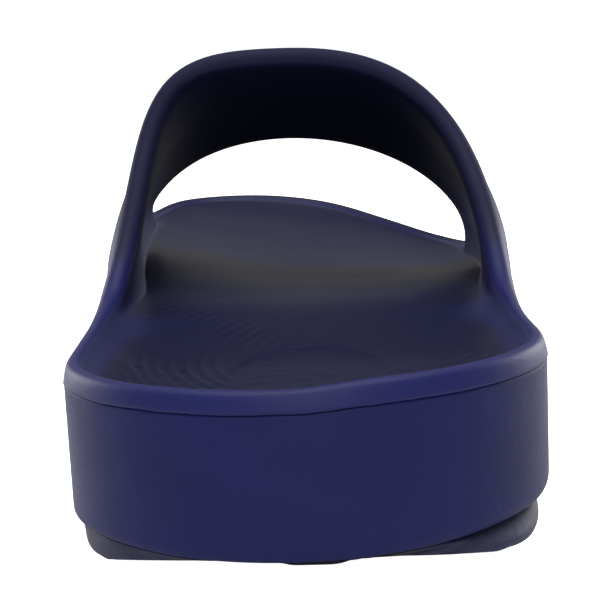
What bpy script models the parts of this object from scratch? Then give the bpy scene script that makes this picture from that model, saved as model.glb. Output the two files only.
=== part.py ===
"""Sport slide sandal, right shoe, in three moulded pieces.

upper_footbed is the strap, the rim and the footbed, moulded in one. midsole is the foam wall under
it, and outsole is the tread layer. X points to the little-toe side, Y to the toe and Z up. Sizes
are in metres. Tables hold shares of the named sizes, and a row is a section across the shoe.
"""

import math
from typing import NamedTuple

import bmesh
import bpy
import numpy as np

MM = 0.001

# Plan sizes
LENGTH = 286 * MM
BALL_WIDTH = 105 * MM
HEEL_WIDTH = 84.8 * MM
HEEL_ROUND = 42 * MM
TOE_ROUND = 86 * MM
HEEL_SQUARENESS = 1.95
TOE_SQUARENESS = 2.2

# Sole heights
RIM_HEIGHT = 31 * MM
TOE_SPRING = 13 * MM
ARCH_LIFT = 2.5 * MM
ARCH_BUMP = 6.5 * MM
FOREFOOT_TILT = math.radians(4.5)
OUTSOLE_THICKNESS = 3.9 * MM
HEEL_SEAM_DIP = 0.6 * MM
HEEL_BEVEL_LENGTH = 14.6 * MM
HEEL_BEVEL_BOW = 3.7 * MM
HEEL_BEVEL_SKEW = 3.6 * MM
HEEL_BEVEL_HEIGHT = 4.3 * MM
HEEL_NOSE_LENGTH = 3 * MM
HEEL_NOSE_HALF_WIDTH = 3.6 * MM

# Rim and footbed
RIM_WIDTH = 3.8 * MM
RIM_BAND = 4 * MM
RIM_EDGE = 0.15 * MM
RIM_LEAN = 0.35 * MM
CUP_REACH = 15 * MM
FOOTBED_WALL = 4.5 * MM
TRAY_LEDGE = 1.5 * MM
TRAY_SLOPE = 9 * MM

# Strap
STRAP_HEIGHT = 84 * MM
STRAP_WALL = 5.2 * MM
STRAP_REAR = 92 * MM
STRAP_FRONT_INNER = 238 * MM
STRAP_FRONT_OUTER = 214 * MM
REAR_FLARE = 3 * MM
FRONT_FLARE_INNER = 5 * MM
FRONT_FLARE_OUTER = 1.5 * MM
FLARE_REACH = 24 * MM
ROOT_REACH = 22 * MM
ROOT_INNER = 4 * MM
ROOT_OUTER = 1.5 * MM

# Midsole wall
WALL_INSET = 0.15 * MM
WALL_TAPER = 0.2 * MM
WALL_ROUND = 2 * MM
WALL_ROUND_SKEW = 0.45
WALL_BAND = 1.2 * MM

# Outsole side and tread
OUTSOLE_INSET = 2.6 * MM
OUTSOLE_ROUND = 0.4 * MM
GROOVE_WIDTH = 2.6 * MM
GROOVE_DEPTH = 1.6 * MM
GROOVE_MARGIN = 9 * MM
GROOVE_BOW = 7 * MM

GAP = 0.3 * MM

# Mesh fineness
HEEL_COLUMNS = 14
STRAP_COLUMNS = 11
TOE_COLUMNS = 12
RIB_STEPS = 30
ROLL_STEPS = 4
OUTLINE_SAMPLES = 1200
GROOVE_STEPS = 12
WALL_ROUND_TURNS = [0, 30, 60, 90]
SEAM_SHARES = [0.2, 0.5, 0.8, 1.0]
TREAD_SHARES = [0.12, 0.3, 0.6, 1.0]
TRAY_INSETS = [WALL_INSET + RIM_EDGE, 3 * MM, 5.5 * MM, 8.5 * MM, CUP_REACH]
TRAY_SHARES = [0.36, 0.72, 1.0]


class Section(NamedTuple):
    """One section across the shoe."""

    station: float  # share of the length, from the heel
    spread: float  # 0 is the heel's width and 1 the ball's
    shift: float  # of the middle line, share of the ball's width
    rim_inner: float  # big-toe side, share of the rim height
    rim_outer: float  # little-toe side, share of the rim height
    bed: float  # middle of the footbed, share of the rim height
    spring: float  # of the toe, share of the toe spring
    arch: float  # of the waist, share of the arch lift


SECTIONS = [
    Section(0.000, 0.000, 0.000, 0.985, 1.015, 0.73, 0.00, 0.0),
    Section(0.147, 0.000, 0.000, 0.985, 1.015, 0.69, 0.00, 0.0),
    Section(0.245, 0.030, 0.004, 1.018, 0.998, 0.70, 0.00, 0.0),
    Section(0.332, 0.120, 0.008, 1.025, 1.000, 0.77, 0.00, 0.0),
    Section(0.437, 0.390, 0.013, 1.025, 0.965, 0.865, 0.00, 1.0),
    Section(0.524, 0.680, 0.017, 1.025, 0.935, 0.860, 0.00, 0.5),
    Section(0.570, 0.830, 0.017, 1.030, 0.920, 0.845, 0.00, 0.0),
    Section(0.700, 1.000, 0.012, 1.080, 0.900, 0.82, 0.00, 0.0),
    Section(0.750, 1.000, 0.004, 1.120, 0.890, 0.84, 0.00, 0.0),
    Section(0.857, 1.000, -0.038, 1.200, 0.930, 0.95, 0.20, 0.0),
    Section(0.927, 1.000, -0.090, 1.240, 1.060, 1.07, 0.50, 0.0),
    Section(0.972, 1.000, -0.140, 1.300, 1.220, 1.15, 0.79, 0.0),
    Section(1.000, 1.000, -0.190, 1.315, 1.315, 1.20, 1.00, 0.0),
]


class Rib(NamedTuple):
    """One line over the strap, from its rear edge to its front edge."""

    place: float  # 0 is the rear edge and 1 the front edge
    station: float  # of the crown, share of the length
    shift: float  # of the crown, share of the ball's width
    height: float  # of the crown, share of the strap height
    square_inner: float  # how boxy the big-toe side is, 2 is an ellipse
    square_outer: float  # the same on the little-toe side
    lean_inner: float  # how far the big-toe side leans in at half height, share of its width
    sweep: float  # how soon the line runs forward as it rises


RIBS = [
    Rib(0.00, 0.483, -0.044, 1.000, 3.06, 2.57, 0.086, 1.90),
    Rib(0.30, 0.540, -0.040, 0.955, 2.32, 2.28, 0.070, 1.75),
    Rib(0.60, 0.600, -0.034, 0.889, 2.06, 2.10, 0.058, 1.55),
    Rib(1.00, 0.678, -0.030, 0.785, 1.95, 1.95, 0.080, 1.30),
]


class SideRow(NamedTuple):
    """One row down the outsole's side."""

    flare: float  # 0 is at the seam's inset and 1 at the tread's
    tuck: float  # share of the lower edge's round that is turned in
    height: float  # share of the outsole's thickness


OUTSOLE_SIDE = [
    SideRow(0.0, 0.0, 1.00),
    SideRow(0.5, 0.0, 0.80),
    SideRow(1.0, 0.0, 0.45),
    SideRow(1.0, 0.2, 0.15),
    SideRow(1.0, 1.0, 0.00),
]


class Tuck(NamedTuple):
    """How far the tread stands inside the outline, with full pads at the heel's corners."""

    station: float  # share of the length, from the heel
    inner: float  # big-toe side, share of the outsole's inset
    outer: float  # little-toe side, share of the outsole's inset


TUCKS = [
    Tuck(0.000, 3.20, 3.20),
    Tuck(0.012, 2.40, 2.30),
    Tuck(0.035, 0.80, 0.30),
    Tuck(0.060, 0.30, -0.15),
    Tuck(0.085, 0.30, 0.30),
    Tuck(0.110, 0.85, 0.90),
    Tuck(0.147, 1.00, 1.00),
    Tuck(1.000, 1.00, 1.00),
]

# Grooves of the tread, as shares of the length
HEEL_GROOVES = [0.12, 0.17, 0.22, 0.27]
BALL_GROOVES = [0.60, 0.64, 0.68, 0.72]


def soft_curve(stations, values):
    """A function through the points, with no kink at a point and no bulge past it."""
    at = np.array(stations, float)
    level = np.array(values, float)
    step = np.diff(at)
    rise = np.diff(level) / step
    slope = np.zeros_like(level)
    before, after = rise[:-1], rise[1:]
    steady = before * after > 0
    slope[1:-1][steady] = (2 * before * after)[steady] / (before + after)[steady]
    slope[0], slope[-1] = rise[0], rise[-1]

    def value(place):
        place = np.clip(place, at[0], at[-1])
        row = np.clip(np.searchsorted(at, place, side="right") - 1, 0, len(step) - 1)
        part = (place - at[row]) / step[row]
        rest = 1 - part
        ends = level[row] * (1 + 2 * part) * rest**2 + level[row + 1] * part**2 * (3 - 2 * part)
        bends = slope[row] * part * rest**2 - slope[row + 1] * part**2 * rest
        return ends + bends * step[row]

    return value


def column_curves(table):
    """A soft curve for each column of a table, over its first column."""
    names = table[0]._fields
    first = [row[0] for row in table]
    return {name: soft_curve(first, [getattr(row, name) for row in table]) for name in names[1:]}


SOLE = column_curves(SECTIONS)
STRAP = column_curves(RIBS)
TREAD = column_curves(TUCKS)


def ease(value):
    """0 to 1 with a soft start and end."""
    value = np.clip(value, 0, 1)
    return value * value * (3 - 2 * value)


def middle_line(y):
    """X of the sole's middle line."""
    return BALL_WIDTH * SOLE["shift"](y / LENGTH)


def half_width(y):
    """Half of the rim's outer width, with the rounds of heel and toe."""
    spread = SOLE["spread"](y / LENGTH)
    width = HEEL_WIDTH + (BALL_WIDTH - HEEL_WIDTH) * spread
    heel = np.clip((HEEL_ROUND - y) / HEEL_ROUND, 0, 1)
    toe = np.clip((y - LENGTH + TOE_ROUND) / TOE_ROUND, 0, 1)
    heel_round = (1 - heel**HEEL_SQUARENESS) ** (1 / HEEL_SQUARENESS)
    toe_round = (1 - toe**TOE_SQUARENESS) ** (1 / TOE_SQUARENESS)
    return width / 2 * heel_round * toe_round


def rim_height(y, side):
    """Height of the rim. The side is -1 for the big toe and 1 for the little toe."""
    column = "rim_inner" if side < 0 else "rim_outer"
    return RIM_HEIGHT * SOLE[column](y / LENGTH)


def ground_height(y):
    """Height of the tread's underside, 0 where it stands on the floor."""
    share = y / LENGTH
    return TOE_SPRING * SOLE["spring"](share) + ARCH_LIFT * SOLE["arch"](share)


def seam_height(y):
    """Height of the seam between midsole and outsole, a little lower at the heel's rear."""
    dip = HEEL_SEAM_DIP * (1 - ease(2 * y / HEEL_ROUND))
    return ground_height(y) + OUTSOLE_THICKNESS - dip


def bed_height(x, y):
    """Height of the footbed away from its rim."""
    share = y / LENGTH
    level = RIM_HEIGHT * SOLE["bed"](share)
    across = (x - middle_line(y)) / (BALL_WIDTH / 2)
    inner = np.exp(-(((across + 0.68) / 0.38) ** 2) - ((share - 0.60) / 0.16) ** 2)
    outer = np.exp(-(((across - 0.75) / 0.30) ** 2) - ((share - 0.47) / 0.12) ** 2)
    tilt = -math.tan(FOREFOOT_TILT) * across * BALL_WIDTH / 2 * ease((share - 0.55) / 0.27)
    return level + ARCH_BUMP * inner + 0.25 * ARCH_BUMP * outer + tilt


class Column(NamedTuple):
    """A place on the outline, with the line that runs from it to the middle of the sole."""

    x: float
    y: float
    out_x: float  # outward direction
    out_y: float
    side: int
    foot_x: float  # where its line ends, on the middle line
    foot_y: float


def outline_loop():
    """Dense points round the rim, from the heel along the big-toe side to the toe and back."""
    turn = np.linspace(0, math.pi, OUTLINE_SAMPLES + 1)
    y = LENGTH * (1 - np.cos(turn)) / 2
    inner = np.stack([middle_line(y) - half_width(y), y], axis=1)
    outer = np.stack([middle_line(y) + half_width(y), y], axis=1)
    return np.concatenate([inner[:-1], outer[:0:-1]])


def outline_columns():
    """Columns spaced evenly along heel, strap and toe, the same number on both sides."""
    loop = outline_loop()
    closed = np.vstack([loop, loop[:1]])
    travel = np.concatenate([[0], np.cumsum(np.hypot(*np.diff(closed, axis=0).T))])
    half = OUTLINE_SAMPLES
    rear_inner = travel[: half + 1][np.searchsorted(closed[: half + 1, 1], STRAP_REAR)]
    front_inner = travel[: half + 1][np.searchsorted(closed[: half + 1, 1], STRAP_FRONT_INNER)]
    front_outer = travel[half:][np.searchsorted(-closed[half:, 1], -STRAP_FRONT_OUTER)]
    rear_outer = travel[half:][np.searchsorted(-closed[half:, 1], -STRAP_REAR)]
    ends = [0, rear_inner, front_inner, travel[half], front_outer, rear_outer, travel[-1]]
    counts = [HEEL_COLUMNS, STRAP_COLUMNS, TOE_COLUMNS]
    counts += counts[::-1]
    stops = [np.linspace(ends[i], ends[i + 1], counts[i] + 1)[:-1] for i in range(len(counts))]
    along = np.concatenate(stops)
    x = np.interp(along, travel, closed[:, 0])
    y = np.interp(along, travel, closed[:, 1])
    reach = travel[-1] / len(along) / 4
    ahead = (along + reach) % travel[-1]
    behind = (along - reach) % travel[-1]
    run_x = np.interp(ahead, travel, closed[:, 0]) - np.interp(behind, travel, closed[:, 0])
    run_y = np.interp(ahead, travel, closed[:, 1]) - np.interp(behind, travel, closed[:, 1])
    run = np.hypot(run_x, run_y)
    count = len(along)
    columns = []
    for i in range(count):
        twin = -i % count
        foot_y = np.clip((y[i] + y[twin]) / 2, 0.14 * LENGTH, 0.80 * LENGTH)
        side = -1 if i <= count // 2 else 1
        out_x, out_y = -run_y[i] / run[i], run_x[i] / run[i]
        columns.append(Column(x[i], y[i], out_x, out_y, side, middle_line(foot_y), foot_y))
    return columns


def inset_point(column, inset, z):
    """A point at a distance inside the outline."""
    return np.array([column.x - column.out_x * inset, column.y - column.out_y * inset, z])


def inward_point(column, start, share):
    """X and Y at a share of the way from a distance inside the outline to the middle line."""
    x, y, _ = inset_point(column, start, 0)
    return x + (column.foot_x - x) * share, y + (column.foot_y - y) * share


def column_groups():
    """Numbers of the columns behind, under and in front of the strap, for both sides."""
    rear_inner = HEEL_COLUMNS
    front_inner = rear_inner + STRAP_COLUMNS
    front_outer = front_inner + 2 * TOE_COLUMNS
    rear_outer = front_outer + STRAP_COLUMNS
    count = rear_outer + HEEL_COLUMNS
    heel = [i % count for i in range(rear_outer, count + rear_inner + 1)]
    toe = list(range(front_inner, front_outer + 1))
    under_inner = list(range(rear_inner, front_inner + 1))
    under_outer = list(range(rear_outer, front_outer - 1, -1))
    return heel, toe, under_inner, under_outer


def strap_nearness(column):
    """0 far from the strap and 1 under it, growing softly along the rim."""
    front = STRAP_FRONT_INNER if column.side < 0 else STRAP_FRONT_OUTER
    away = max(STRAP_REAR - column.y, column.y - front, 0)
    return max(0, 1 - away / FLARE_REACH) ** 2


def rim_top(column):
    """Height of the top of the rim, which climbs into the strap's edges."""
    front = STRAP_FRONT_INNER if column.side < 0 else STRAP_FRONT_OUTER
    front_flare = FRONT_FLARE_INNER if column.side < 0 else FRONT_FLARE_OUTER
    forward = ease((column.y - STRAP_REAR) / (front - STRAP_REAR))
    flare = REAR_FLARE + (front_flare - REAR_FLARE) * forward
    return rim_height(column.y, column.side) + flare * strap_nearness(column)


def rim_wall(column):
    """Width of the rim, which grows to the strap's wall."""
    return RIM_WIDTH + (STRAP_WALL - RIM_WIDTH) * strap_nearness(column)


def front_root(column):
    """Extra width of the rim that runs into the thick root of the strap's front edge."""
    if column.y < STRAP_FRONT_OUTER:
        return 0
    return (ROOT_INNER if column.side < 0 else ROOT_OUTER) * strap_nearness(column)


def resample(points, steps):
    """The same line in equal steps."""
    travel = np.concatenate([[0], np.cumsum(np.linalg.norm(np.diff(points, axis=0), axis=1))])
    stops = np.linspace(0, travel[-1], steps + 1)
    return np.stack([np.interp(stops, travel, points[:, axis]) for axis in range(3)], axis=1)


def rib_half(base, crown, square, lean, sweep, steps):
    """A quarter arch from a foot of the strap to its crown."""
    turn = np.linspace(0, math.pi / 2, 240)
    high = np.sin(turn) ** (2 / square)
    wide = np.cos(turn) ** (2 / square) - lean * 4 * high * (1 - high)
    forward = 1 - (1 - high) ** sweep
    x = crown[0] + (base[0] - crown[0]) * wide
    y = base[1] + (crown[1] - base[1]) * forward
    z = base[2] + (crown[2] - base[2]) * high
    return resample(np.stack([x, y, z], axis=1), steps)


def strap_outside(columns):
    """Grid of the strap's outer face, one rib for each column under it."""
    _, _, under_inner, under_outer = column_groups()
    ribs = []
    for number, (inner, outer) in enumerate(zip(under_inner, under_outer)):
        place = number / STRAP_COLUMNS
        crown = np.array(
            [
                BALL_WIDTH * STRAP["shift"](place),
                LENGTH * STRAP["station"](place),
                STRAP_HEIGHT * STRAP["height"](place),
            ]
        )
        feet = []
        for column in (columns[inner], columns[outer]):
            feet.append(inset_point(column, RIM_LEAN, rim_top(column) - rim_wall(column) / 2))
        sweep, steps = STRAP["sweep"](place), RIB_STEPS // 2
        inner_form = (STRAP["square_inner"](place), STRAP["lean_inner"](place))
        outer_form = (STRAP["square_outer"](place), 0)
        rise = rib_half(feet[0], crown, *inner_form, sweep, steps)
        fall = rib_half(feet[1], crown, *outer_form, sweep, steps)
        ribs.append(np.concatenate([rise, fall[-2::-1]]))
    return np.array(ribs)


def strap_walls(outside):
    """The strap's wall at each of its points, thicker at the two roots, away from the rear edge."""
    run = np.linalg.norm(np.diff(outside, axis=1), axis=2)
    travel = np.concatenate([np.zeros((len(run), 1)), np.cumsum(run, axis=1)], axis=1)
    inner = ROOT_INNER * np.clip(1 - travel / ROOT_REACH, 0, 1) ** 2
    outer = ROOT_OUTER * np.clip(1 - (travel[:, -1:] - travel) / ROOT_REACH, 0, 1) ** 2
    place = np.linspace(0, 1, len(outside))[:, None]
    return STRAP_WALL + (inner + outer) * ease(place / 0.3)


def inside_of(outside):
    """The inner face of the strap, one wall inside the outer face."""
    across = np.gradient(outside, axis=0)
    over = np.gradient(outside, axis=1)
    normal = np.cross(across, over)
    normal /= np.linalg.norm(normal, axis=2, keepdims=True)
    return outside + normal * strap_walls(outside)[:, :, None]


def edge_roll(outer, inner):
    """Half-round rows that join two closed lines, from the outer one to the inner one."""
    middle = (outer + inner) / 2
    across = (inner - outer) / 2
    radius = np.linalg.norm(across, axis=1, keepdims=True)
    run = np.roll(middle, -1, axis=0) - np.roll(middle, 1, axis=0)
    bulge = np.cross(across, run)
    bulge *= radius / np.linalg.norm(bulge, axis=1, keepdims=True)
    rows = []
    for step in range(ROLL_STEPS + 1):
        turn = math.pi * step / ROLL_STEPS
        rows.append(middle - across * math.cos(turn) + bulge * math.sin(turn))
    return rows


def footbed_rows(columns, inner_edge):
    """Rows of the footbed's face, from the rim's inner edge to the middle line."""
    rows = [[] for _ in range(9)]
    for column, edge in zip(columns, inner_edge):
        start = (column.x - edge[0]) * column.out_x + (column.y - edge[1]) * column.out_y
        rows[0].append(edge)
        for row, share in enumerate([0.10, 0.26, 0.50, 1.00], start=1):
            inset = start + (CUP_REACH - start) * share
            x, y, _ = inset_point(column, inset, 0)
            level = bed_height(x, y)
            rows[row].append(np.array([x, y, level + (edge[2] - level) * (1 - share) ** 2.6]))
        for row, share in enumerate([0.28, 0.56, 0.80, 1.00], start=5):
            x, y = inward_point(column, CUP_REACH, share)
            rows[row].append(np.array([x, y, bed_height(x, y)]))
    return rows


def parting_height(column):
    """Height of the line where the rim meets the midsole's wall."""
    return rim_height(column.y, column.side) - RIM_BAND


def tray_rows(columns, insets, drop):
    """Rows of the underside of the footbed, or of the face that it lies on, a drop lower."""
    rows = []
    for inset in insets:
        sink = ease((inset - TRAY_LEDGE) / TRAY_SLOPE)
        row = []
        for column in columns:
            x, y, _ = inset_point(column, inset, 0)
            edge = parting_height(column)
            level = edge + (bed_height(x, y) - FOOTBED_WALL - edge) * sink
            row.append(np.array([x, y, level - drop]))
        rows.append(row)
    for share in TRAY_SHARES:
        row = []
        for column in columns:
            x, y = inward_point(column, insets[-1], share)
            row.append(np.array([x, y, bed_height(x, y) - FOOTBED_WALL - drop]))
        rows.append(row)
    return rows


def level_rows(columns, insets, heights, shares, floor):
    """Rows down a side, then in to the middle line on a floor's height.

    Insets are functions of the column, and heights are functions of the column and the row's y.
    """
    rows = []
    for inset, high in zip(insets, heights):
        row = []
        for column in columns:
            x, y, _ = inset_point(column, inset(column), 0)
            row.append(np.array([x, y, high(column, y)]))
        rows.append(row)
    for share in shares:
        row = []
        for column in columns:
            x, y = inward_point(column, insets[-1](column), share)
            row.append(np.array([x, y, floor(y)]))
        rows.append(row)
    return rows


def make_solid(name, grids, material):
    """One closed solid from grids of points whose borders meet. A grid is (rows, closed).

    Each square of a grid is split from its column's point on the outer row, so that two faces
    that lie on each other are split alike and stay a gap apart.
    """
    mesh = bmesh.new()
    for rows, closed in grids:
        points = [[mesh.verts.new(point) for point in row] for row in rows]
        for upper, lower in zip(points, points[1:]):
            count = len(upper)
            for i in range(count if closed else count - 1):
                after = (i + 1) % count
                mesh.faces.new((upper[i], upper[after], lower[after]))
                mesh.faces.new((upper[i], lower[after], lower[i]))
    bmesh.ops.remove_doubles(mesh, verts=mesh.verts, dist=0.002 * MM)
    bmesh.ops.recalc_face_normals(mesh, faces=mesh.faces)
    data = bpy.data.meshes.new(name)
    mesh.to_mesh(data)
    mesh.free()
    data.shade_smooth()
    data.materials.append(material)
    solid = bpy.data.objects.new(name, data)
    bpy.context.scene.collection.objects.link(solid)
    return solid


def foam(name, color, roughness):
    """Moulded foam or rubber of one colour."""
    material = bpy.data.materials.new(name)
    material.use_nodes = True
    shader = material.node_tree.nodes["Principled BSDF"]
    shader.inputs["Base Color"].default_value = (*color, 1)
    shader.inputs["Roughness"].default_value = roughness
    shader.inputs["Metallic"].default_value = 0
    return material


def make_upper(columns, material):
    """Strap, rim and footbed in one."""
    heel, toe, under_inner, under_outer = column_groups()
    outside = strap_outside(columns)
    inside = inside_of(outside)
    outer_edge, inner_edge = [], []
    for column in columns:
        high = rim_top(column) - rim_wall(column) / 2
        outer_edge.append(inset_point(column, RIM_LEAN, high))
        inner_edge.append(inset_point(column, rim_wall(column) + front_root(column), high))
    for number, (inner, outer) in enumerate(zip(under_inner, under_outer)):
        outer_edge[inner], outer_edge[outer] = outside[number, 0], outside[number, -1]
        inner_edge[inner], inner_edge[outer] = inside[number, 0], inside[number, -1]
    collar_outer = np.array([outer_edge[i] for i in heel] + list(outside[0, 1:-1]))
    collar_inner = np.array([inner_edge[i] for i in heel] + list(inside[0, 1:-1]))
    toe_outer = np.array([outer_edge[i] for i in toe] + list(outside[-1, -2:0:-1]))
    toe_inner = np.array([inner_edge[i] for i in toe] + list(inside[-1, -2:0:-1]))
    flank = [
        [inset_point(c, RIM_EDGE, parting_height(c)) for c in columns],
        [inset_point(c, 0, parting_height(c) + RIM_EDGE) for c in columns],
        outer_edge,
    ]
    grids = [
        (footbed_rows(columns, inner_edge), True),
        (tray_rows(columns, [RIM_EDGE] + TRAY_INSETS, 0), True),
        (flank, True),
        (edge_roll(collar_outer, collar_inner), True),
        (edge_roll(toe_outer, toe_inner), True),
        (outside, False),
        (inside, False),
    ]
    return make_solid("upper_footbed", grids, material)


def wall_round(column):
    """Radius of the wall's lower edge, larger on the little-toe side."""
    return WALL_ROUND * (1 + WALL_ROUND_SKEW * column.out_x)


def seam_inset(column):
    """How far the seam between wall and outsole stands inside the outline."""
    return WALL_INSET + WALL_TAPER + wall_round(column)


def make_midsole(columns, material):
    """Foam wall and core between the footbed and the outsole."""
    insets, heights = [], []
    for taper, high in (
        (0, lambda c, y: parting_height(c) - GAP - RIM_EDGE),
        (0, lambda c, y: parting_height(c) - GAP - WALL_BAND),
        (0.5, lambda c, y: (parting_height(c) + seam_height(y)) / 2),
        (1, lambda c, y: seam_height(y) + wall_round(c) + WALL_BAND),
    ):
        insets.append(lambda c, taper=taper: WALL_INSET + WALL_TAPER * taper)
        heights.append(high)
    for angle in WALL_ROUND_TURNS:
        turn = math.radians(angle)
        turned_in, raised = 1 - math.cos(turn), 1 - math.sin(turn)
        insets.append(lambda c, part=turned_in: WALL_INSET + WALL_TAPER + wall_round(c) * part)
        heights.append(lambda c, y, part=raised: seam_height(y) + wall_round(c) * part)
    top = tray_rows(columns, TRAY_INSETS, GAP)
    side = level_rows(columns, insets, heights, SEAM_SHARES, seam_height)
    return make_solid("midsole", [(top, True), ([top[0]] + side, True)], material)


def groove_bar(mesh, y):
    """Adds a bowed bar that cuts one groove of the tread, inside a plain border."""
    reach = float(half_width(y)) - OUTSOLE_INSET - GROOVE_MARGIN
    half = GROOVE_WIDTH / 2
    rows = []
    for share in np.linspace(-1, 1, GROOVE_STEPS + 1):
        x = float(middle_line(y)) + reach * share
        bowed = y - GROOVE_BOW * share * share
        row = []
        for along, high in ((-1, -1), (1, -1), (1, 1), (-1, 1)):
            row.append(mesh.verts.new((x, bowed + half * along, GROOVE_DEPTH * high)))
        rows.append(row)
    for first, second in zip(rows, rows[1:]):
        for i in range(4):
            after = (i + 1) % 4
            mesh.faces.new((first[i], first[after], second[after], second[i]))
    mesh.faces.new(rows[0])
    mesh.faces.new(rows[-1])


def heel_wedge(mesh):
    """Adds the bowed wedge that bevels the tread's rear edge, with a small nose in its middle."""
    slope = HEEL_BEVEL_HEIGHT / HEEL_BEVEL_LENGTH
    past = HEEL_BEVEL_LENGTH / 2
    low, high = -past * slope, HEEL_BEVEL_HEIGHT + past * slope
    rows = []
    nose = HEEL_NOSE_HALF_WIDTH / (HEEL_WIDTH / 2)
    for share in [-1, -0.75, -0.5, -2 * nose, -nose, -nose / 2, nose / 2, nose, 2 * nose, 0.5, 0.75, 1]:
        x = share * HEEL_WIDTH / 2
        shift = HEEL_BEVEL_BOW * share * share - HEEL_BEVEL_SKEW * share
        shift -= HEEL_NOSE_LENGTH * ease(2 - abs(share) / nose)
        profile = [(-past, low), (HEEL_BEVEL_LENGTH + past + shift, low), (-past, high + slope * shift)]
        rows.append([mesh.verts.new((x, y, z)) for y, z in profile])
    for first, second in zip(rows, rows[1:]):
        for i in range(3):
            after = (i + 1) % 3
            mesh.faces.new((first[i], first[after], second[after], second[i]))
    mesh.faces.new(rows[0])
    mesh.faces.new(rows[-1])


def tread_cutter():
    """The heel's wedge and all the grooves of the tread as one hidden cutter."""
    mesh = bmesh.new()
    heel_wedge(mesh)
    for station in HEEL_GROOVES + BALL_GROOVES:
        groove_bar(mesh, station * LENGTH)
    bmesh.ops.recalc_face_normals(mesh, faces=mesh.faces)
    data = bpy.data.meshes.new("tread_cutter")
    mesh.to_mesh(data)
    mesh.free()
    cutter = bpy.data.objects.new("tread_cutter", data)
    bpy.context.scene.collection.objects.link(cutter)
    cutter.hide_render = True
    cutter.display_type = "WIRE"
    return cutter


def outsole_inset(column):
    """How far the tread's side stands inside the outline."""
    return OUTSOLE_INSET * TREAD["inner" if column.side < 0 else "outer"](column.y / LENGTH)


def make_outsole(columns, material):
    """Tread layer with a bevelled heel and grooves."""
    insets, heights = [], []
    for flare, tuck, share in OUTSOLE_SIDE:
        insets.append(
            lambda c, flare=flare, tuck=tuck: seam_inset(c)
            + (outsole_inset(c) - seam_inset(c)) * flare
            + OUTSOLE_ROUND * tuck
        )
        heights.append(
            lambda c, y, share=share: ground_height(y)
            + (seam_height(y) - GAP - ground_height(y)) * share
        )
    bottom = level_rows(columns, insets, heights, TREAD_SHARES, ground_height)
    top = level_rows(columns, insets[:1], heights[:1], SEAM_SHARES, lambda y: seam_height(y) - GAP)
    outsole = make_solid("outsole", [(top, True), (bottom, True)], material)
    cut = outsole.modifiers.new("tread", "BOOLEAN")
    cut.object = tread_cutter()
    return outsole


def centre_on_origin(solids):
    """Puts the middle of the plan at the origin and the lowest point on the floor."""
    points = np.array([vertex.co for solid in solids for vertex in solid.data.vertices])
    low, high = points.min(axis=0), points.max(axis=0)
    shift = ((low[0] + high[0]) / 2, (low[1] + high[1]) / 2, low[2])
    for shape in bpy.data.objects:
        for vertex in shape.data.vertices:
            vertex.co.x -= shift[0]
            vertex.co.y -= shift[1]
            vertex.co.z -= shift[2]


def main():
    for old in list(bpy.data.objects):
        bpy.data.objects.remove(old)
    navy = foam("navy_foam", (0.024, 0.023, 0.105), 0.62)
    navy_wall = foam("navy_foam_wall", (0.022, 0.021, 0.098), 0.66)
    tread = foam("navy_tread", (0.030, 0.030, 0.085), 0.78)
    columns = outline_columns()
    solids = [
        make_upper(columns, navy),
        make_midsole(columns, navy_wall),
        make_outsole(columns, tread),
    ]
    centre_on_origin(solids)


main()
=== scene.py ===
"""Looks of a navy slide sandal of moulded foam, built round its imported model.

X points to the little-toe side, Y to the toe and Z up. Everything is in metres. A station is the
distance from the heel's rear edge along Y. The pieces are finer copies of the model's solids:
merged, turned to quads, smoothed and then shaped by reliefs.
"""

from __future__ import annotations

import logging
import math
from collections.abc import Callable
from dataclasses import dataclass, field
from enum import Enum

import bmesh
import bpy
from mathutils import Matrix, Vector, noise

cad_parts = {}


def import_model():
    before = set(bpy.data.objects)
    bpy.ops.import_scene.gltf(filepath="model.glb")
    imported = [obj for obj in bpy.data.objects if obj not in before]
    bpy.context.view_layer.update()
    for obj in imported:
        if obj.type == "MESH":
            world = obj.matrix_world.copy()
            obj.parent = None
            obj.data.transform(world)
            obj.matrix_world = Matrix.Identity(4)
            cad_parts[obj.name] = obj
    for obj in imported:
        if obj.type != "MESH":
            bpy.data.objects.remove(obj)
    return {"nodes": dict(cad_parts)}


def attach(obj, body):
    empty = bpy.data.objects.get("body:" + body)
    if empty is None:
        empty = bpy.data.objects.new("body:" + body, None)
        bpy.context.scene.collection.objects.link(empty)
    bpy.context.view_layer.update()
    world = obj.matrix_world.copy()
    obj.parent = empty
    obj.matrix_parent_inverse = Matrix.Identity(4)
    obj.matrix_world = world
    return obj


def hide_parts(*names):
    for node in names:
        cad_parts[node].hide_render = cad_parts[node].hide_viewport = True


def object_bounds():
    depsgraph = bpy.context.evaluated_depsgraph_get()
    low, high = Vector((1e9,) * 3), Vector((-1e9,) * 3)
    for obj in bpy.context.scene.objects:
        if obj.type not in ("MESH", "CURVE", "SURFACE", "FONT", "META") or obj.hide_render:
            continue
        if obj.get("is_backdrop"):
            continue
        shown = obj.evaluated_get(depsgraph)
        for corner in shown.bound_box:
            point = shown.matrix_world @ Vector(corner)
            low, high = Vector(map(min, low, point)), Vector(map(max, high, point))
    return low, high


MM = 0.001

log = logging.getLogger("slide_sandal")


class Tone(Enum):
    """The dyes of the sandal's foams and a painted shade for the footbed and strap, as linear colours."""

    SKIN = (0.0074, 0.0086, 0.0650)
    SKIN_DEEP = (0.0056, 0.0064, 0.0510)
    WALL = (0.0062, 0.0078, 0.0600)
    WALL_DEEP = (0.0040, 0.0050, 0.0390)
    # Painted shade: a near-black navy that darkens the footbed and the inside of the strap where less
    # light falls.
    WORN = (0.0020, 0.0024, 0.0165)
    TREAD = (0.0115, 0.0125, 0.0400)
    TREAD_DEEP = (0.0110, 0.0122, 0.0330)
    PAPER = (0.86, 0.86, 0.87)
    WHITE = (1.0, 1.0, 1.0)
    BLACK = (0.0, 0.0, 0.0)


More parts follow.
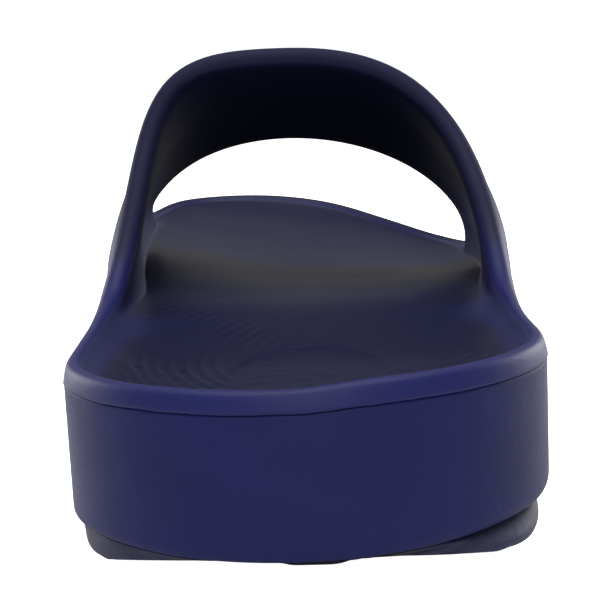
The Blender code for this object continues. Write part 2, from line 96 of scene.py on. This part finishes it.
def eased(value: float) -> float:
    """Holds a value between 0 and 1, with a soft start and end.

    Args:
        value: Any number.

    Returns:
        A number from 0 to 1.
    """
    held = min(1.0, max(0.0, value))
    return held * held * (3 - 2 * held)


def work_on(piece: bpy.types.Object) -> None:
    """Makes one object the only selected one and the active one.

    Args:
        piece: The object to work on.
    """
    bpy.ops.object.select_all(action="DESELECT")
    piece.select_set(True)
    bpy.context.view_layer.objects.active = piece


def apply_modifier(piece: bpy.types.Object, kind: str, **settings: object) -> None:
    """Adds a modifier to a piece and applies it.

    Args:
        piece: The object that gets it.
        kind: Blender's name of the modifier's type.
        **settings: Values that are set on the modifier.
    """
    modifier = piece.modifiers.new(kind.lower(), kind)
    for key, value in settings.items():
        setattr(modifier, key, value)
    work_on(piece)
    bpy.ops.object.modifier_apply(modifier=modifier.name)


class Value:
    """One output of a shader node, on which Python's operators add Math nodes."""

    def __init__(self, graph: Graph, socket: bpy.types.NodeSocket) -> None:
        """Keeps the graph and the socket."""
        self.graph = graph
        self.socket = socket

    def __add__(self, other: Value | float) -> Value:
        """Adds."""
        return self.graph.math("ADD", self, other)

    def __mul__(self, other: Value | float) -> Value:
        """Multiplies."""
        return self.graph.math("MULTIPLY", self, other)

    def __sub__(self, other: Value | float) -> Value:
        """Subtracts a value from this one."""
        return self.graph.math("SUBTRACT", self, other)

    def __rsub__(self, other: Value | float) -> Value:
        """Subtracts this value from another."""
        return self.graph.math("SUBTRACT", other, self)

    def clamped(self) -> Value:
        """Holds the value between 0 and 1."""
        held = self.graph.node("ShaderNodeClamp", {}, {"Value": self})
        return self.graph.output(held)

    def ramp(self, start: float, end: float) -> Value:
        """Goes softly from 0 at a start to 1 at an end."""
        settings = {"interpolation_type": "SMOOTHSTEP"}
        inputs = {"Value": self, "From Min": start, "From Max": end}
        return self.graph.output(self.graph.node("ShaderNodeMapRange", settings, inputs))


class Graph:
    """The nodes of one material."""

    def __init__(self, name: str) -> None:
        """Starts a material that has its shader and output.

        Args:
            name: The material's name.
        """
        self.material = bpy.data.materials.new(name)
        self.material.use_nodes = True
        self.tree = self.material.node_tree
        self.shader = self.tree.nodes["Principled BSDF"]
        self.coordinates = self.output(self.node("ShaderNodeTexCoord"), "Object")

    def node(
        self,
        kind: str,
        settings: dict[str, object] | None = None,
        inputs: dict[str | int, object] | None = None,
    ) -> bpy.types.Node:
        """Adds a node.

        Args:
            kind: Blender's name of the node's type.
            settings: Properties that are set first.
            inputs: Values or links of its sockets, by name or number.

        Returns:
            The new node.
        """
        added = self.tree.nodes.new(kind)
        for key, value in (settings or {}).items():
            setattr(added, key, value)
        for key, value in (inputs or {}).items():
            self.feed(added.inputs[key], value)
        return added

    def feed(self, socket: bpy.types.NodeSocket, value: object) -> None:
        """Links a value to a socket, or sets the socket to a constant.

        Args:
            socket: The input.
            value: A Value, a number or a colour.
        """
        if isinstance(value, Value):
            self.tree.links.new(value.socket, socket)
        else:
            socket.default_value = value

    def output(self, node: bpy.types.Node, name: str | int = 0) -> Value:
        """Wraps an output of a node."""
        return Value(self, node.outputs[name])

    def math(self, operation: str, first: Value | float, second: Value | float) -> Value:
        """Adds a Math node.

        Args:
            operation: Blender's name of the operation.
            first: The first value.
            second: The second value.

        Returns:
            The node's value.
        """
        return self.output(self.node("ShaderNodeMath", {"operation": operation}, {0: first, 1: second}))

    def noise(self, size: float, detail: float = 2.0, roughness: float = 0.5) -> Value:
        """Adds a noise over the piece.

        Args:
            size: The size of its blots.
            detail: How many finer layers it has.
            roughness: How strong the finer layers are.

        Returns:
            A value about 0.5.
        """
        inputs = {"Vector": self.coordinates, "Scale": 1 / size, "Detail": detail, "Roughness": roughness}
        return self.output(self.node("ShaderNodeTexNoise", {}, inputs))

    def cells(self, size: float, smoothness: float) -> Value:
        """Adds rounded pebbles over the piece.

        Args:
            size: The size of a pebble.
            smoothness: How much the pebbles melt into each other.

        Returns:
            The distance from the middle of a pebble.
        """
        settings = {"feature": "SMOOTH_F1"}
        inputs = {"Vector": self.coordinates, "Scale": 1 / size, "Smoothness": smoothness}
        return self.output(self.node("ShaderNodeTexVoronoi", settings, inputs))

    def blend(self, share: Value, first: Tone, second: Tone) -> Value:
        """Mixes two tones.

        Args:
            share: 0 is the first and 1 the second.
            first: A tone.
            second: Another tone.

        Returns:
            The mixed colour.
        """
        inputs = {0: share, 6: (*first.value, 1.0), 7: (*second.value, 1.0)}
        return self.output(self.node("ShaderNodeMix", {"data_type": "RGBA"}, inputs), 2)

    def mix(self, share: Value, first: Value, second: Tone) -> Value:
        """Mixes a colour with a tone."""
        inputs = {0: share, 6: first, 7: (*second.value, 1.0)}
        return self.output(self.node("ShaderNodeMix", {"data_type": "RGBA"}, inputs), 2)

    def bump(self, height: Value, depth: float, under: Value | None = None) -> Value:
        """Adds a Bump node.

        Args:
            height: The height, 0 to 1.
            depth: The relief's real height.
            under: The normal of the relief that it lies on.

        Returns:
            The bumped normal.
        """
        inputs: dict[str | int, object] = {"Height": height, "Distance": depth, "Strength": 1.0}
        if under is not None:
            inputs["Normal"] = under
        return self.output(self.node("ShaderNodeBump", {}, inputs))


@dataclass(frozen=True)
class FoamFinish:
    """Moulded foam of one dye, with a fine grain and a soft gloss, and where set a painted shade over the
    footbed and strap.
    """

    name: str
    tone: Tone
    deep: Tone
    roughness: float
    specular: float
    sheen: float
    grain: float
    grain_depth: float
    pebble: float
    pebble_depth: float
    # Share of the painted shade that darkens the footbed and strap; 0 leaves the dye alone.
    painted_shade_share: float = 0.0
    strap_matt: float = 0.22
    upward: tuple[float, float] = (0.45, 0.85)
    rim_rise: tuple[float, float] = (24.5 * MM, 28.0 * MM)
    rim_end: tuple[float, float] = (-50 * MM, -30 * MM)
    cove_rise: tuple[float, float] = (24.0 * MM, 27.5 * MM)
    strap_rise: tuple[float, float] = (36 * MM, 50 * MM)
    cloud: float = 22 * MM
    cloud_contrast: float = 1.5
    cloud_start: float = 0.30
    cloud_matt: float = 0.10
    speckle: float = 0.5
    grain_matt: float = 0.16
    sheen_roughness: float = 0.4
    sag: float = 7 * MM
    sag_depth: float = 0.020 * MM

    def painted_shade_masks(self, graph: Graph) -> tuple[Value, Value]:
        """Where a painted shade darkens the footbed and the strap, and how matt the strap is; neither on
        the rim.

        Args:
            graph: The nodes of the finish.

        Returns:
            Two values from 0 to 1, for the footbed and the strap.
        """
        place = graph.node("ShaderNodeSeparateXYZ", {}, {0: graph.coordinates})
        turned = graph.node("ShaderNodeTexCoord")
        facing = graph.node("ShaderNodeSeparateXYZ", {}, {0: graph.output(turned, "Normal")})
        height, along = graph.output(place, 2), graph.output(place, 1)
        upward = graph.output(facing, 2).ramp(*self.upward)
        rim = height.ramp(*self.rim_rise) * (1.0 - along.ramp(*self.rim_end))
        low = 1.0 - height.ramp(*self.cove_rise)
        footbed = (upward + low).clamped() * (1.0 - rim)
        return footbed, height.ramp(*self.strap_rise)

    def make(self) -> bpy.types.Material:
        """Builds the material.

        Returns:
            The finished material.
        """
        graph = Graph(self.name)
        cloud = graph.noise(self.cloud, 3.0)
        grain = graph.noise(self.grain, 2.0, 0.6)
        pebble = graph.cells(self.pebble, 0.7)
        sag = graph.noise(self.sag, 1.0)
        speckle = (grain - 0.5) * self.speckle
        share = (cloud * self.cloud_contrast - self.cloud_start + speckle).clamped()
        gloss = (cloud - 0.5) * self.cloud_matt + (grain - 0.5) * self.grain_matt + self.roughness
        relief = graph.bump(sag, self.sag_depth)
        relief = graph.bump(pebble, self.pebble_depth, relief)
        relief = graph.bump(grain, self.grain_depth, relief)
        shader = graph.shader
        dye = graph.blend(share, self.tone, self.deep)
        # Painted shade: the footbed and the inside of the strap are darkened towards a near-black navy,
        # standing in for the shade that falls there.
        if self.painted_shade_share > 0:
            footbed, strap = self.painted_shade_masks(graph)
            dye = graph.mix((footbed + strap).clamped() * self.painted_shade_share, dye, Tone.WORN)
            gloss = gloss + strap * self.strap_matt
        graph.feed(shader.inputs["Base Color"], dye)
        graph.feed(shader.inputs["Roughness"], gloss.clamped())
        graph.feed(shader.inputs["Normal"], relief)
        graph.feed(shader.inputs["Specular IOR Level"], self.specular)
        graph.feed(shader.inputs["Sheen Weight"], self.sheen)
        graph.feed(shader.inputs["Sheen Roughness"], self.sheen_roughness)
        return graph.material


@dataclass(frozen=True)
class PaperFinish:
    """Plain pale paper of the studio floor."""

    name: str = "studio_paper"
    roughness: float = 0.9
    glow: float = 1.02

    def make(self) -> bpy.types.Material:
        """Builds the material.

        Returns:
            The finished material.
        """
        graph = Graph(self.name)
        seen = graph.output(graph.node("ShaderNodeLightPath"), "Is Camera Ray")
        graph.feed(graph.shader.inputs["Base Color"], (*Tone.PAPER.value, 1.0))
        graph.feed(graph.shader.inputs["Roughness"], self.roughness)
        graph.feed(graph.shader.inputs["Specular IOR Level"], 0.0)
        graph.feed(graph.shader.inputs["Emission Color"], graph.blend(seen, Tone.BLACK, Tone.WHITE))
        graph.feed(graph.shader.inputs["Emission Strength"], self.glow)
        return graph.material


SKIN_FINISH = FoamFinish(
    name="foam_skin",
    tone=Tone.SKIN,
    deep=Tone.SKIN_DEEP,
    roughness=0.50,
    specular=0.16,
    sheen=0.0,
    grain=0.30 * MM,
    grain_depth=0.020 * MM,
    pebble=0.9 * MM,
    pebble_depth=0.018 * MM,
    # Painted shade on the footbed and strap, 0.9 of the way to the near-black navy.
    painted_shade_share=0.9,
)

WALL_FINISH = FoamFinish(
    name="foam_wall_skin",
    tone=Tone.WALL,
    deep=Tone.WALL_DEEP,
    roughness=0.54,
    specular=0.12,
    sheen=0.0,
    grain=0.34 * MM,
    grain_depth=0.026 * MM,
    pebble=1.1 * MM,
    pebble_depth=0.024 * MM,
)

TREAD_FINISH = FoamFinish(
    name="tread_rubber",
    tone=Tone.TREAD,
    deep=Tone.TREAD_DEEP,
    roughness=0.66,
    specular=0.30,
    sheen=0.03,
    grain=0.45 * MM,
    grain_depth=0.040 * MM,
    pebble=0.8 * MM,
    pebble_depth=0.060 * MM,
)


@dataclass
class Shoe:
    """Where the shoe stands, taken from the model's box, and how uneven its parting line is."""

    heel_y: float
    middle_x: float = -1.09 * MM
    wave_end: float = 60 * MM
    wave_fade: float = 30 * MM
    slow_scale: float = 55.0
    slow_height: float = 0.30 * MM
    quick_scale: float = 260.0
    quick_height: float = 0.12 * MM
    quick_seed: float = 4.0

    def station(self, y: float) -> float:
        """Distance from the heel's rear edge."""
        return y - self.heel_y

    def across(self, x: float) -> float:
        """Distance from the heel's middle line, positive to the little-toe side."""
        return x - self.middle_x

    def parting_wave(self, place: Vector) -> float:
        """Height that the uneven moulded edge adds to the parting line at the heel.

        Args:
            place: A point of the mesh.

        Returns:
            A height, 0 away from the heel.
        """
        near = 1 - eased((place.y - self.heel_y - self.wave_end) / self.wave_fade)
        slow_place = Vector((place.x * self.slow_scale, place.y * self.slow_scale, 0.0))
        quick_place = Vector((place.x * self.quick_scale, place.y * self.quick_scale, self.quick_seed))
        slow = noise.noise(slow_place) * self.slow_height
        quick = noise.noise(quick_place) * self.quick_height
        return near * (slow + quick)


def keep_sharp(piece: bpy.types.Object, sharp: Callable[[bmesh.types.BMEdge], bool]) -> None:
    """Creases the edges that the smoothing has to keep.

    Args:
        piece: The object whose mesh is creased.
        sharp: Says which edges.
    """
    mesh = bmesh.new()
    mesh.from_mesh(piece.data)
    layer = mesh.edges.layers.float.new("crease_edge")
    for edge in mesh.edges:
        if len(edge.link_faces) == 2 and sharp(edge):
            edge[layer] = 1.0
    mesh.to_mesh(piece.data)
    mesh.free()


def finer_copy(
    source: bpy.types.Object,
    name: str,
    levels: int,
    sharp: Callable[[bmesh.types.BMEdge], bool],
) -> bpy.types.Object:
    """Copies a node of the model, merges it, turns it to quads and smooths it.

    Args:
        source: The node's object.
        name: The new piece's name.
        levels: How often the smoothing divides it.
        sharp: Says which edges stay sharp.

    Returns:
        The new piece.
    """
    piece = bpy.data.objects.new(name, source.data.copy())
    bpy.context.scene.collection.objects.link(piece)
    piece.data.materials.clear()
    work_on(piece)
    bpy.ops.object.mode_set(mode="EDIT")
    bpy.ops.mesh.select_all(action="SELECT")
    bpy.ops.mesh.remove_doubles(threshold=0.01 * MM)
    bpy.ops.mesh.customdata_custom_splitnormals_clear()
    bpy.ops.mesh.select_all(action="SELECT")
    bpy.ops.mesh.tris_convert_to_quads(face_threshold=math.pi, shape_threshold=math.pi)
    bpy.ops.object.mode_set(mode="OBJECT")
    keep_sharp(piece, sharp)
    apply_modifier(piece, "SUBSURF", levels=levels, render_levels=levels)
    return piece


def divide_faces(piece: bpy.types.Object, wanted: Callable[[bmesh.types.BMFace], bool]) -> None:
    """Divides the faces that are wanted into four.

    Args:
        piece: The object whose mesh is divided.
        wanted: Says which faces.
    """
    work_on(piece)
    bpy.ops.object.mode_set(mode="EDIT")
    bpy.ops.mesh.select_mode(type="FACE")
    bpy.ops.mesh.select_all(action="DESELECT")
    mesh = bmesh.from_edit_mesh(piece.data)
    for face in mesh.faces:
        if wanted(face):
            face.select_set(True)
    bmesh.update_edit_mesh(piece.data)
    bpy.ops.mesh.subdivide(number_cuts=1, smoothness=0.0)
    bpy.ops.object.mode_set(mode="OBJECT")


def finish_piece(piece: bpy.types.Object, material: bpy.types.Material, node: str) -> None:
    """Dresses a piece and puts it in the place of a node.

    Args:
        piece: The piece.
        material: Its finish.
        node: The node that it stands for.
    """
    piece.data.materials.clear()
    piece.data.materials.append(material)
    work_on(piece)
    bpy.ops.object.shade_smooth()
    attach(piece, "root")
    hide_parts(node)
    count = sum(len(face.vertices) - 2 for face in piece.data.polygons)
    log.info("%s: %d triangles in the place of %s", piece.name, count, node)


@dataclass
class Upper:
    """Strap, rim and footbed in one moulding."""

    shoe: Shoe
    ripple_x: float = 27 * MM
    ripple_station: float = 77 * MM
    ripple_pitch: float = 2.8 * MM
    ripple_height: float = 0.24 * MM
    ripple_faint: float = 0.3
    ripple_left: float = -4 * MM
    ripple_left_fade: float = 14 * MM
    ripple_front: float = 84 * MM
    ripple_front_lean: float = 0.9
    ripple_front_fade: float = 14 * MM
    ripple_front_drop: float = 0.85
    ripple_wander: float = 1.2 * MM
    ripple_wander_scale: float = 45.0
    ripple_start: float = 22 * MM
    ripple_fade: float = 14 * MM
    ripple_half_width: float = 36 * MM
    ripple_half_length: float = 66 * MM
    ripple_middle: float = 82 * MM
    ripple_border: float = 0.35
    disc_x: float = 0.3 * MM
    disc_station: float = 59 * MM
    disc_half_width: float = 15.4 * MM
    disc_half_length: float = 27 * MM
    disc_depth: float = 0.4 * MM
    disc_edge: float = 1.3 * MM
    hollow_depth: float = 1.1 * MM
    hollow_x: float = -31 * MM
    hollow_station: float = 142 * MM
    hollow_width: float = 15 * MM
    hollow_length: float = 24 * MM
    cell: float = 0.55 * MM
    footbed_top: float = 37 * MM
    lip_low: float = 27.6 * MM
    lip_high: float = 29.4 * MM
    crease_angle: float = math.radians(25)

    def is_parting_edge(self, edge: bmesh.types.BMEdge) -> bool:
        """Whether an edge is the sharp lower one of the rim."""
        under = min(face.normal.z for face in edge.link_faces)
        return edge.calc_face_angle() > self.crease_angle and under < -0.5

    def make(self, source: bpy.types.Object) -> bpy.types.Object:
        """Builds the piece.

        Args:
            source: The node of the model that it stands for.

        Returns:
            The finished mesh object.
        """
        piece = finer_copy(source, "foam_upper", 2, self.is_parting_edge)
        for _ in range(2):
            divide_faces(piece, self.needs_finer)
        rises = [self.relief(vertex.co, vertex.normal) for vertex in piece.data.vertices]
        for vertex, rise in zip(piece.data.vertices, rises):
            low = 1 - eased((vertex.co.z - self.lip_low) / (self.lip_high - self.lip_low))
            vertex.co.z += rise + low * self.shoe.parting_wave(vertex.co)
        finish_piece(piece, SKIN_FINISH.make(), source.name)
        return piece

    def field_share(self, place: Vector) -> float:
        """How strong the ripples are at a place, 0 outside their field."""
        across = abs(self.shoe.across(place.x)) / self.ripple_half_width
        along = abs(self.shoe.station(place.y) - self.ripple_middle) / self.ripple_half_length
        return eased((1 - across**3 - along**3) / self.ripple_border)

    def on_footbed(self, place: Vector, normal: Vector) -> bool:
        """Whether a point lies on the footbed's face."""
        return normal.z > 0.6 and place.z < self.footbed_top

    def needs_finer(self, face: bmesh.types.BMFace) -> bool:
        """Whether a face of the footbed is too coarse for the ripples."""
        middle = face.calc_center_median()
        if not self.on_footbed(middle, face.normal) or self.field_share(middle) <= 0:
            return False
        return face.calc_area() > self.cell * self.cell

    def hollow(self, across: float, station: float) -> float:
        """Depth of the soft hollow before the arch, which carries the heel's slope forward."""
        wide = (across - self.hollow_x) / self.hollow_width
        long = (station - self.hollow_station) / self.hollow_length
        return self.hollow_depth * math.exp(-(wide**2 + long**2))

    def disc_share(self, across: float, station: float) -> float:
        """1 inside the heel's disc and 0 outside it."""
        wide = (across - self.disc_x) / self.disc_half_width
        long = (station - self.disc_station) / self.disc_half_length
        reach = (math.hypot(wide, long) - 1) * self.disc_half_width
        return eased(0.5 - reach / self.disc_edge)

    def ripple_rise(self, across: float, station: float) -> float:
        """Height of the ripples' crests, less in front and on the little-toe side."""
        front = self.ripple_front + max(0.0, -across) * self.ripple_front_lean
        forward = eased((station - front) / self.ripple_front_fade)
        left = eased((self.ripple_left - across) / self.ripple_left_fade)
        side = self.ripple_faint + (1 - self.ripple_faint) * left
        return self.ripple_height * (1 - self.ripple_front_drop * forward) * side

    def relief(self, place: Vector, normal: Vector) -> float:
        """Height that the ripples, the heel's disc and the hollow add to the footbed.

        Args:
            place: A point of the mesh.
            normal: The mesh's normal there.

        Returns:
            A height, below 0 inside the disc and the hollow.
        """
        if not self.on_footbed(place, normal):
            return 0.0
        across = self.shoe.across(place.x)
        station = self.shoe.station(place.y)
        hollow = self.hollow(across, station)
        share = self.field_share(place)
        if share <= 0:
            return -hollow
        inside = self.disc_share(across, station)
        wander = noise.noise(place * self.ripple_wander_scale) * self.ripple_wander
        radius = math.hypot(across - self.ripple_x, station - self.ripple_station) + wander
        wave = 0.5 + 0.5 * math.cos(math.tau * radius / self.ripple_pitch)
        rise = self.ripple_rise(across, station)
        rise *= eased((radius - self.ripple_start) / self.ripple_fade)
        return rise * share * wave**2 * (1 - inside) - self.disc_depth * inside - hollow


@dataclass
class Midsole:
    """Foam wall and core under the rim."""

    shoe: Shoe
    lip_low: float = 20 * MM
    lip_high: float = 26 * MM
    top_fill: float = 0.20 * MM
    base_fill: float = 0.12 * MM
    crease_angle: float = math.radians(40)

    def is_parting_edge(self, edge: bmesh.types.BMEdge) -> bool:
        """Whether an edge is the sharp upper one of the wall."""
        top = max(face.normal.z for face in edge.link_faces)
        return edge.calc_face_angle() > self.crease_angle and top > 0.5

    def make(self, source: bpy.types.Object) -> bpy.types.Object:
        """Builds the piece.

        Args:
            source: The node of the model that it stands for.

        Returns:
            The finished mesh object.
        """
        piece = finer_copy(source, "foam_wall", 2, self.is_parting_edge)
        for vertex in piece.data.vertices:
            high = eased((vertex.co.z - self.lip_low) / (self.lip_high - self.lip_low))
            wave = self.shoe.parting_wave(vertex.co) + self.top_fill
            vertex.co.z += high * wave - (1 - high) * self.base_fill
        finish_piece(piece, WALL_FINISH.make(), source.name)
        return piece


@dataclass
class Outsole:
    """Tread layer with its grooves."""

    crease_angle: float = math.radians(52)

    def is_sharp(self, edge: bmesh.types.BMEdge) -> bool:
        """Whether an edge belongs to a groove, the bevel or the seam."""
        return edge.calc_face_angle() > self.crease_angle

    def make(self, source: bpy.types.Object) -> bpy.types.Object:
        """Builds the piece.

        Args:
            source: The node of the model that it stands for.

        Returns:
            The finished mesh object.
        """
        piece = finer_copy(source, "tread_layer", 2, self.is_sharp)
        finish_piece(piece, TREAD_FINISH.make(), source.name)
        return piece


@dataclass
class Viewpoint:
    """The camera, low behind the heel and a little rolled."""

    shoe: Shoe
    behind: float = 230 * MM
    height: float = 75.5 * MM
    aside: float = 0.6 * MM
    pitch: float = math.radians(8.04)
    roll: float = math.radians(2.75)
    lens: float = 92.8

    def make(self) -> bpy.types.Object:
        """Builds the camera and makes it the scene's own.

        Returns:
            The camera object.
        """
        data = bpy.data.cameras.new("viewpoint")
        data.lens = self.lens
        data.sensor_width = 36.0
        data.clip_start = 0.01
        data.clip_end = 50.0
        camera = bpy.data.objects.new("viewpoint", data)
        bpy.context.scene.collection.objects.link(camera)
        place = Vector((self.shoe.middle_x + self.aside, self.shoe.heel_y - self.behind, self.height))
        tilt = Matrix.Rotation(math.pi / 2 - self.pitch, 4, "X")
        turn = Matrix.Rotation(-self.roll, 4, "Z")
        camera.matrix_world = Matrix.Translation(place) @ tilt @ turn
        bpy.context.scene.camera = camera
        return camera


@dataclass(frozen=True)
class Softbox:
    """One soft studio light that looks at a point."""

    name: str
    place: tuple[float, float, float]
    target: tuple[float, float, float]
    size: tuple[float, float]
    power: float

    def make(self) -> bpy.types.Object:
        """Builds the light.

        Returns:
            The light object.
        """
        data = bpy.data.lights.new(self.name, "AREA")
        data.shape = "RECTANGLE"
        data.size, data.size_y = self.size
        data.energy = self.power
        light = bpy.data.objects.new(self.name, data)
        bpy.context.scene.collection.objects.link(light)
        direction = Vector(self.target) - Vector(self.place)
        light.location = self.place
        light.rotation_euler = direction.to_track_quat("-Z", "Y").to_euler()
        return light


@dataclass
class Studio:
    """Pale floor, white surroundings and soft light."""

    floor_size: float = 60.0
    sky_seen: float = 1.06
    sky_light: float = 0.22
    sky_gloss: float = 0.45
    boxes: list[Softbox] = field(
        default_factory=lambda: [
            Softbox("overhead", (0.0, -0.20, 1.1), (0.0, -0.10, 0.0), (1.1, 0.9), 19.0),
            Softbox("behind_heel", (0.0, -1.50, 0.70), (0.0, -0.10, 0.03), (0.7, 0.7), 12.0),
            Softbox("left_strip", (-0.90, 0.75, 0.28), (0.0, -0.10, 0.03), (0.5, 0.5), 5.5),
            Softbox("right_strip", (0.90, 0.75, 0.28), (0.0, -0.10, 0.03), (0.5, 0.5), 7.5),
        ]
    )

    def make(self) -> None:
        """Builds the floor, the world and the lights."""
        bpy.ops.object.select_all(action="DESELECT")
        bpy.ops.mesh.primitive_plane_add(size=self.floor_size, location=(0, 0, 0))
        floor = bpy.context.object
        floor.name = "floor"
        floor.data.materials.append(PaperFinish().make())
        floor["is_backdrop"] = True
        for box in self.boxes:
            box.make()
        self.make_world()
        bpy.context.scene.view_settings.view_transform = "Standard"

    def make_world(self) -> None:
        """Builds white surroundings, which light the shoe less than the camera sees them."""
        world = bpy.data.worlds.new("white_room")
        bpy.context.scene.world = world
        world.use_nodes = True
        tree = world.node_tree
        background = tree.nodes["Background"]
        background.inputs["Color"].default_value = (1.0, 1.0, 1.0, 1.0)
        path = tree.nodes.new("ShaderNodeLightPath")
        light = tree.nodes.new("ShaderNodeMix")
        light.inputs[2].default_value = self.sky_gloss
        light.inputs[3].default_value = self.sky_light
        tree.links.new(path.outputs["Is Diffuse Ray"], light.inputs[0])
        mix = tree.nodes.new("ShaderNodeMix")
        mix.inputs[3].default_value = self.sky_seen
        tree.links.new(light.outputs[0], mix.inputs[2])
        tree.links.new(path.outputs["Is Camera Ray"], mix.inputs[0])
        tree.links.new(mix.outputs[0], background.inputs["Strength"])


def main() -> None:
    """Builds the sandal, the studio and the camera."""
    logging.basicConfig(level=logging.INFO, format="%(name)s %(message)s")
    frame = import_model()
    model_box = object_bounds()
    nodes = frame["nodes"]
    shoe = Shoe(heel_y=model_box[0][1])
    Viewpoint(shoe).make()
    Studio().make()
    Upper(shoe).make(nodes["upper_footbed"])
    Midsole(shoe).make(nodes["midsole"])
    Outsole().make(nodes["outsole"])


if __name__ == "__main__":
    main()
